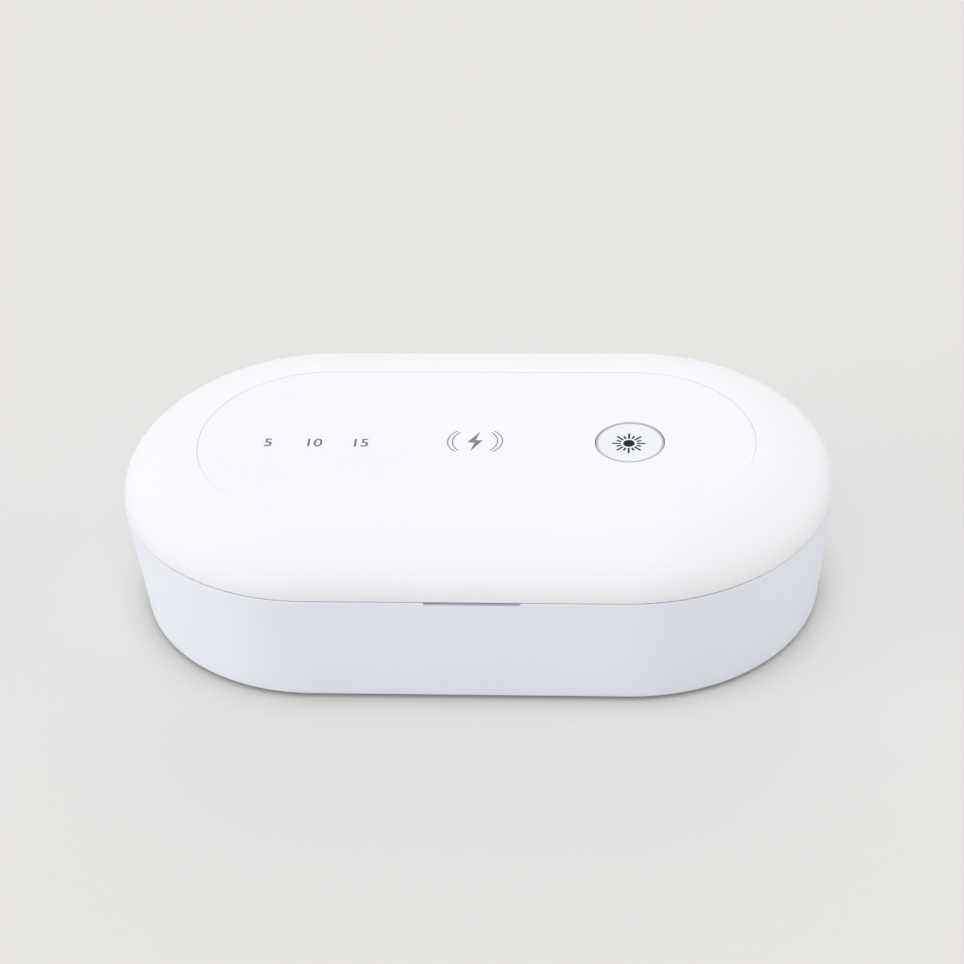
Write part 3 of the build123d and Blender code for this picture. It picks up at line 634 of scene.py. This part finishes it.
lamp_die = Finish("lamp_die", IOR=1.8, Coat_Weight=0.6)
mesa = stripes(lamp_die, "X", pitch=0.22) > 0.6
lamp_die.feed(
    Base_Color=lamp_die.mix(mesa, colour(70, 58, 104), colour(168, 150, 96)),
    Roughness=0.2 + lamp_die.speckle(0.2) * 0.15,
)
lamp_size = 3.5
lamp_well = 0.45
lamp_row_y = 24.0
gilt_radius = 1.22
gilt_gauge = 0.05
die_size = (1.0, 1.0, 0.16)


def lamp_cups(body, node, faces_up):
    """The gilt floor and the die in each lamp's well."""
    low, high = span(node)
    well_z = high.z - lamp_well if faces_up else low.z + lamp_well
    toward = 1 if faces_up else -1
    columns = (low.x + lamp_size / 2, 0.0, high.x - lamp_size / 2)
    places = [(x, y, well_z) for x in columns for y in (-lamp_row_y, lamp_row_y)]
    gilt_top = toward * gilt_gauge
    gilt = lathe([(0, 0), (gilt_radius, 0), (gilt_radius, gilt_top), (0, gilt_top)], steps=24)
    die = bmesh.new()
    bar(die, die_size, (0, 0, gilt_top + toward * die_size[2] / 2), round_off=0.03)
    add_piece(body + "_lamp_floors", set_out(gilt, places), body, contact_gold)
    add_piece(body + "_lamp_dies", set_out(die, places), body, lamp_die)


lamp_cups("base", "base_lamps", faces_up=True)


# ---- Base mirror and windows ----
# A pan of rolled and polished aluminium sheet lines the chamber, so that the light reaches all
# round a phone. Quartz discs over the lamps let it through and keep dust out.
mirror_aluminium = Finish("mirror_aluminium", Metallic=1.0)
rolled = mirror_aluminium.speckle(0.25, stretch=(0.03, 1, 1))
waves = mirror_aluminium.speckle(22.0, detail=0.0)
mirror_aluminium.feed(
    Base_Color=mirror_aluminium.mix(rolled, colour(240, 241, 243), colour(228, 230, 232)),
    Roughness=0.1 + rolled * 0.1,
)
mirror_aluminium.relief(rolled * 0.04 + waves, depth=0.03)
dress(mirror_aluminium, "base_mirror", "lid_mirror")

quartz = Finish("quartz", IOR=1.46, Transmission_Weight=1.0)
film = quartz.speckle(2.5)
quartz.feed(
    Base_Color=quartz.mix(film, colour(252, 252, 255), colour(246, 247, 253)),
    Roughness=0.02 + film * 0.04,
)
dress(quartz, "base_windows", "lid_windows")


# ---- Phone rests ----
# Four ribs of clear-grey silicone, moulded with round shoulders and a row of soft nubs, and stuck
# across the mirror so that a phone lies clear of it.
def silicone(name, clear, cloudy):
    """Soft rubber that lets a little light in, cloudy in patches, with a dull skin."""
    finish = Finish(name, IOR=1.42, Subsurface_Weight=0.4, Subsurface_Scale=0.002)
    cloud = finish.speckle(4.0)
    skin = finish.speckle(0.25)
    finish.feed(Base_Color=finish.mix(cloud, clear, cloudy), Roughness=0.42 + skin * 0.16)
    finish.relief(skin, depth=0.006)
    return finish


rest_silicone = silicone("rest_silicone", colour(222, 225, 230), colour(208, 212, 218))
rest_count = 4
rest_width = 3.2
shoulder_radius = 1.15
nub_height = 0.6
nub_radius = 0.9
rest_low, rest_high = span("phone_rests")
rib_top = rest_high.z - nub_height
rib_height = rib_top - rest_low.z
rib_length = rest_high.y - rest_low.y
rib = bmesh.new()
bar(rib, (rest_width, rib_length, rib_height), (0, 0, rib_height / 2))
exposed = [edge for edge in rib.edges if any(end.co.z > rib_height / 2 for end in edge.verts)]
shoulders = {"offset": shoulder_radius, "segments": 5, "affect": "EDGES", "profile": 0.5}
bmesh.ops.bevel(rib, geom=exposed, material=-1, **shoulders)
rest_pitch = (rest_high.x - rest_low.x - rest_width) / (rest_count - 1)
rest_middle = (rest_low.x + rest_high.x) / 2
rest_lines = [rest_middle + x for x in row(rest_count, rest_pitch)]
add_piece(
    "phone_rest_ribs", set_out(rib, [(x, 0, rest_low.z) for x in rest_lines]),
    "base", rest_silicone, ["phone_rests"],
)

nub_outline = [
    (nub_radius, -0.3), (nub_radius, 0.15), (0.75, nub_height - 0.12),
    (0.5, nub_height - 0.02), (0, nub_height),
]
nub_count = 10
nub_margin = 3.5
nub_pitch = (rib_length - 2 * nub_margin) / (nub_count - 1)
nub_places = [(x, y, rib_top) for x in rest_lines for y in row(nub_count, nub_pitch)]
add_piece(
    "phone_rest_nubs", set_out(lathe(nub_outline, steps=16), nub_places),
    "base", rest_silicone, crease=50,
)


# ---- Lid shell ----
# The domed cover, of the same white ABS as the base, moulded in one piece with its posts and the
# middle knuckle. Its colour is less blue than the base's, which carries painted shade. The stadium
# opening in its crown holds the charging panel.
lid_white = moulded("lid_white", colour(236, 237, 242), colour(234, 235, 240), roughness=0.52)
dress(lid_white, "lid_shell")


# ---- Lid board and its parts ----
# The charger's board, screwed to four posts under the panel, with its controller, two chokes and
# capacitors beside the coil, and the button's switch at the other end.
small_screws("lid_board_cross_screws", "lid", "lid_board_screws")
charger_low, charger_high = span("lid_board_chips")
charger_x = charger_high.x - chip_size / 2
lid_board_face = span("lid_board")[1].z
chip_and_legs("charger_chip", "lid", "lid_board_chips", charger_x, 0, lid_board_face)

charger_choke_radius = 3.0
charger_choke_y = 5.0
charger_choke_x = charger_low.x + charger_choke_radius
drum_choke(
    "charger_chokes", "lid", "lid_board_chips",
    [(charger_choke_x, y, lid_board_face) for y in (-charger_choke_y, charger_choke_y)],
    radius=charger_choke_radius, height=1.6,
)
capacitors(
    "charger_capacitors", "lid",
    [(charger_x + x, y, lid_board_face) for x in (-2.5, 2.5) for y in (-8.0, 8.0)],
)


# ---- Charging coil and ferrite ----
# Nine turns of enamelled copper wire wound flat and glued under the panel, on a sintered ferrite
# disc that keeps the field out of the board.
coil_turns = 9
packing = 0.98
coil_low, coil_high = span("charging_coil")
wire_radius = (coil_high.z - coil_low.z) / 2
wire_pitch = 2 * wire_radius * packing
coil_middle = (coil_low.z + coil_high.z) / 2
first_radius = coil_high.x - (coil_turns + 0.5) * wire_pitch
coil = bmesh.new()
start = Matrix.Translation((first_radius, 0, coil_middle)) @ Matrix.Rotation(math.pi / 2, 4, "X")
wire_end = {"cap_ends": True, "segments": 10, "radius": wire_radius, "matrix": start}
section = bmesh.ops.create_circle(coil, **wire_end)["verts"]
front = [*section, *edges_at(section), *section[0].link_faces]
for half_turn in range(2 * coil_turns):
    centre_x = 0.0 if half_turn % 2 == 0 else wire_pitch / 2
    bend = {"cent": (centre_x, 0, 0), "axis": (0, 0, 1), "angle": math.pi, "steps": 28}
    front = bmesh.ops.spin(coil, geom=front, use_merge=False, **bend)["geom_last"]
bmesh.ops.recalc_face_normals(coil, faces=coil.faces[:])
add_piece("charging_coil_turns", coil, "lid", coil_copper, ["charging_coil"])

ferrite = Finish("ferrite", IOR=1.7)
crack = cells(ferrite, 4.5, feature="DISTANCE_TO_EDGE") < 0.02
sinter = ferrite.speckle(0.2)
ferrite_face = ferrite.mix(sinter, colour(62, 62, 66), colour(80, 80, 84))
ferrite.feed(
    Base_Color=ferrite.mix(crack, ferrite_face, colour(34, 34, 36)),
    Roughness=0.42 + sinter * 0.25,
)
ferrite.relief(sinter * 0.3 - crack, depth=0.02)
dress(ferrite, "ferrite_disc")


# ---- Charging panel ----
# The flat stadium plate let into the crown, of much the same white as the lid but smoother, since a
# phone lies on it. It is stuck down on its seat all round, and its posts carry the lid board.
panel_white = moulded("panel_white", colour(235, 235, 241), colour(233, 233, 239), roughness=0.44)
dress(panel_white, "charging_panel")


# ---- Printed marks on the panel ----
# Pad printed in two greys after moulding: the general sign for wireless charging over the coil,
# and three plain numbers to the left of it. The ink stands a few hundredths proud.
ink_gauge = 0.02
panel_top = span("charging_panel")[1].z


def ink(name, body, marks, finish, surface):
    """Flat marks become a thin film of ink on a surface at this height."""
    made = bmesh.ops.extrude_face_region(marks, geom=marks.faces[:])["geom"]
    raised = [part for part in made if isinstance(part, bmesh.types.BMVert)]
    bmesh.ops.translate(marks, vec=(0, 0, ink_gauge), verts=raised)
    bmesh.ops.translate(marks, vec=(0, 0, surface), verts=marks.verts[:])
    bmesh.ops.recalc_face_normals(marks, faces=marks.faces[:])
    add_piece(name, marks, body, finish)


def printing(name, solid, thin):
    """Printing ink, a little thinner in spots."""
    finish = Finish(name, IOR=1.5)
    cover = finish.speckle(0.35)
    finish.feed(Base_Color=finish.mix(cover, solid, thin), Roughness=0.5 + cover * 0.2)
    finish.relief(cover, depth=0.003)
    return finish


def arc(marks, centre_x, radius, reach, width):
    """A curved line on each side of the sign."""
    for side in (-1, 1):
        centre = (side * centre_x, 0, 0)
        turn = Matrix.Translation(centre) @ Matrix.Rotation(-reach, 4, "Z")
        ends = [
            marks.verts.new(turn @ Vector((side * (radius + half), 0, 0)))
            for half in (-width / 2, width / 2)
        ]
        line = marks.edges.new(ends)
        sweep = {"cent": centre, "axis": (0, 0, 1), "angle": 2 * reach, "steps": 24}
        bmesh.ops.spin(marks, geom=[*ends, line], **sweep)


sign_grey = printing("sign_grey", colour(108, 111, 116), colour(124, 127, 132))
arc_width = 0.36
bolt = [(1.35, 5.2), (-2.4, -0.55), (-0.15, -0.55), (-1.15, -5.2), (2.35, 0.6), (0.15, 0.6)]
sign = bmesh.new()
for centre_x, radius, degrees in ((1.61, 6.84, 52.5), (0.46, 6.5, 47.2)):
    arc(sign, centre_x, radius, math.radians(degrees), arc_width)
sign.faces.new([sign.verts.new((x, y, 0)) for x, y in bolt])
ink("charging_sign", "lid", sign, sign_grey, panel_top)

number_grey = printing("number_grey", colour(84, 86, 90), colour(98, 100, 104))
number_size = 5.8
number_weight = 0.03
number_line = -1.2
numbers = bmesh.new()
for words, number_x in (("5", -64.0), ("10", -50.0), ("15", -35.5)):
    text = bpy.data.curves.new("number", "FONT")
    text.body = words
    text.size = number_size
    text.offset = number_weight
    text.align_x = "CENTER"
    text.align_y = "CENTER"
    carrier = bpy.data.objects.new("number", text)
    bpy.context.scene.collection.objects.link(carrier)
    drawn = carrier.evaluated_get(bpy.context.evaluated_depsgraph_get())
    flat = bpy.data.meshes.new_from_object(drawn)
    first = len(numbers.verts)
    numbers.from_mesh(flat)
    numbers.verts.ensure_lookup_table()
    bmesh.ops.translate(numbers, vec=(number_x, number_line, 0), verts=numbers.verts[first:])
    bpy.data.objects.remove(carrier)
    bpy.data.meshes.remove(flat)
    bpy.data.curves.remove(text)
ink("panel_numbers", "lid", numbers, number_grey, panel_top)


# ---- Button ring ----
# A turned brass sleeve, chrome plated, clamped under the panel. Its outer edge is bevelled, so it
# shows as a thin dark line round the button.
ring_chrome = worked_metal(
    "ring_chrome", colour(218, 220, 224), colour(208, 210, 214), roughness=0.12, lay=(1, 1, 0.1),
    marks=0.3,
)
dress(ring_chrome, "button_ring")


# ---- Button, its plunger and its switch ----
# A cool pale-grey cap that a finger presses half a millimetre, on the tactile switch's black
# plunger. The sun sign is printed in black: a dot in sixteen rays, long and short by turns.
button_grey = moulded("button_grey", colour(227, 232, 236), colour(223, 228, 233), roughness=0.34)
dress(button_grey, "uv_button")
dress(sensor_epoxy, "switch_plunger")
switch_steel = worked_metal(
    "switch_steel", colour(196, 196, 194), colour(176, 176, 175), roughness=0.32, lay=(0.2, 1, 1),
)
dress(switch_steel, "button_switch")

sun_black = printing("sun_black", colour(10, 10, 11), colour(18, 18, 20))
sun_black.feed(Specular_IOR_Level=0.2)
dot_radius = 1.77
ray_count = 16
ray_half = 0.31
long_ray = (2.45, 5.15)
short_ray = (2.55, 4.1)
ray_tips = {"offset": 0.12, "segments": 2, "affect": "VERTICES", "profile": 0.5}
button_low, button_high = span("uv_button")
sun_x = (button_low.x + button_high.x) / 2 - 0.3
sun_y = -0.7
sun = bmesh.new()
bmesh.ops.create_circle(sun, cap_ends=True, segments=40, radius=dot_radius)
for ray in range(ray_count):
    near, far = long_ray if ray % 2 == 0 else short_ray
    turn = Matrix.Rotation(ray * math.tau / ray_count, 4, "Z")
    stroke = [(near, -ray_half), (far, -ray_half), (far, ray_half), (near, ray_half)]
    face = sun.faces.new([sun.verts.new(turn @ Vector((x, y, 0))) for x, y in stroke])
    bmesh.ops.bevel(sun, geom=face.verts[:], material=-1, **ray_tips)
bmesh.ops.translate(sun, vec=(sun_x, sun_y, 0), verts=sun.verts[:])
ink("sun_sign", "button", sun, sun_black, button_high.z)


# ---- Lid lamps, their boards, screws and windows ----
# The same two strips as in the base, upside down over the lid's mirror. Boards, cups and windows
# share the base's finishes above; their screws, gilt floors and dies are made here.
small_screws("lid_strip_cross_screws", "lid", "lid_strip_screws")
lamp_cups("lid", "lid_lamps", faces_up=False)


# ---- Lid screws ----
# Six cross-recessed screws in counterbores round the two ends of the lid's liner; they show when
# the lid is open.
lid_head = 1.65
lid_head_height = 1.0
lid_screw_circle = 57.9
lid_screw_turn = 55.0
lid_screw_low, lid_screw_high = span("lid_screws")
lid_bearing = lid_screw_low.z + lid_head_height
end_centre = lid_screw_high.x - lid_head - lid_screw_circle
places = []
for side in (-1, 1):
    for angle in (-lid_screw_turn, 0, lid_screw_turn):
        out = lid_screw_circle * math.cos(math.radians(angle))
        along = lid_screw_circle * math.sin(math.radians(angle))
        places.append((side * (end_centre + out), along, lid_bearing))
lid_screw = cross_screw(lid_head, lid_head_height, small_shank, lid_screw_high.z - lid_bearing)
add_piece(
    "lid_cross_screws", set_out(lid_screw, places),
    "lid", screw_zinc, ["lid_screws"],
)


# ---- Lid seal ----
# A grey silicone ring pressed into the lid's groove. Its rounded lip stands a little proud of the
# liner and closes on the base's lip, so that no stray light gets out.
seal_half = 0.95
seal_lip = 0.35
lip_steps = 8
seal_low, seal_high = span("lid_seal")
seal_radius = seal_high.y - seal_half
seal_centre = seal_high.x - seal_high.y
outline = [(-seal_half, seal_high.z), (seal_half, seal_high.z)]
for step in range(lip_steps + 1):
    angle = step * math.pi / lip_steps
    lip_z = seal_low.z + seal_lip * (1 - math.sin(angle))
    outline.append((seal_half * math.cos(angle), lip_z))
seal = bmesh.new()
front = [seal.verts.new((seal_centre, -seal_radius - across, z)) for across, z in outline]
front += [seal.edges.new(ends) for ends in zip(front, front[1:] + front[:1])]
for side in (1, -1):
    end = {"cent": (side * seal_centre, 0, 0), "axis": (0, 0, 1), "angle": math.pi, "steps": 40}
    turned = bmesh.ops.spin(seal, geom=front, **end)["geom_last"]
    edges = [part for part in turned if isinstance(part, bmesh.types.BMEdge)]
    straight = bmesh.ops.extrude_edge_only(seal, edges=edges)["geom"]
    points = [part for part in straight if isinstance(part, bmesh.types.BMVert)]
    bmesh.ops.translate(seal, vec=(-2 * side * seal_centre, 0, 0), verts=points)
    front = points + [part for part in straight if isinstance(part, bmesh.types.BMEdge)]
bmesh.ops.remove_doubles(seal, verts=seal.verts[:], dist=0.001)
bmesh.ops.recalc_face_normals(seal, faces=seal.faces[:])
seal_silicone = silicone("seal_silicone", colour(186, 189, 194), colour(174, 177, 183))
add_piece("seal_ring", seal, "lid", seal_silicone, ["lid_seal"])


# ---- Floor, light and camera ----
# A plain pale table that runs on to the backdrop, and soft lights above and on all sides, the left
# one the strongest. The camera stands a little right of the middle and looks down.
table_half = 12.0
table = bmesh.new()
bmesh.ops.create_grid(table, x_segments=1, y_segments=1, size=table_half)
floor_mesh = bpy.data.meshes.new("floor")
table.to_mesh(floor_mesh)
table.free()
floor = bpy.data.objects.new("floor", floor_mesh)
bpy.context.scene.collection.objects.link(floor)
table_paint = Finish("table_paint", Roughness=0.95, Specular_IOR_Level=0.1)
table_paint.feed(Base_Color=colour(220, 219, 218))
floor_mesh.materials.append(table_paint.material)


class Backdrop(Finish):
    """The studio's walls, which light the box a little less than they are seen and mirrored."""

    def __init__(self, name, paint, lighting, showing):
        self.world = bpy.data.worlds.new(name)
        self.world.use_nodes = True
        self.tree = self.world.node_tree
        walls = self.tree.nodes["Background"]
        seen = self.node("LightPath", out="Is Camera Ray")
        for way in ("Is Glossy Ray", "Is Transmission Ray"):
            seen = seen.math("MAXIMUM", seen, self.node("LightPath", out=way))
        self.join(walls.inputs["Color"], paint)
        self.join(walls.inputs["Strength"], lighting + seen * (showing - lighting))


studio = Backdrop("studio", colour(229, 227, 225), lighting=0.86, showing=1.0)
bpy.context.scene.world = studio.world


def soft_light(name, toward, strength, spread, lights=True, shines=False):
    """A wide far light, with the direction toward it. It lights the box, is mirrored, or both."""
    data = bpy.data.lights.new(name, "SUN")
    data.energy = strength
    data.angle = math.radians(spread)
    light = bpy.data.objects.new(name, data)
    light.rotation_euler = Vector(toward).to_track_quat("Z", "Y").to_euler()
    light.visible_diffuse = lights
    light.visible_glossy = shines
    bpy.context.scene.collection.objects.link(light)


soft_light("top", (0, 0, 1), strength=0.53, spread=20, shines=True)
soft_light("above_front", (0, -0.5, 1), strength=0.57, spread=50)
soft_light("left", (-1, -0.25, 0.08), strength=1.19, spread=30)
soft_light("back", (0, 1, 0.4), strength=0.4, spread=50)
soft_light("right", (1, 0.1, 0.4), strength=0.29, spread=50)
soft_light("glint", (-0.1, 1, 0.75), strength=0.17, spread=36, lights=False, shines=True)

azimuth, elevation, roll = (math.radians(angle) for angle in (5.28, 36.0, -2.81))
distance = 0.8862
target = Vector((0.001535, 0.0, 0.039))
lens_pixels = 2851.7
frame_pixels = 964
back = Vector((
    math.sin(azimuth) * math.cos(elevation),
    -math.cos(azimuth) * math.cos(elevation),
    math.sin(elevation),
))
level = Vector((math.cos(azimuth), math.sin(azimuth), 0))
rise = back.cross(level)
right = level * math.cos(roll) + rise * math.sin(roll)
up = rise * math.cos(roll) - level * math.sin(roll)
lens = bpy.data.cameras.new("camera")
lens.sensor_width = 36
lens.lens = lens_pixels * lens.sensor_width / frame_pixels
camera = bpy.data.objects.new("camera", lens)
bpy.context.scene.collection.objects.link(camera)
camera.matrix_world = (
    Matrix.Translation(target + back * distance) @ Matrix((right, up, back)).transposed().to_4x4()
)
bpy.context.scene.camera = camera
bpy.context.scene.view_settings.view_transform = "Standard"
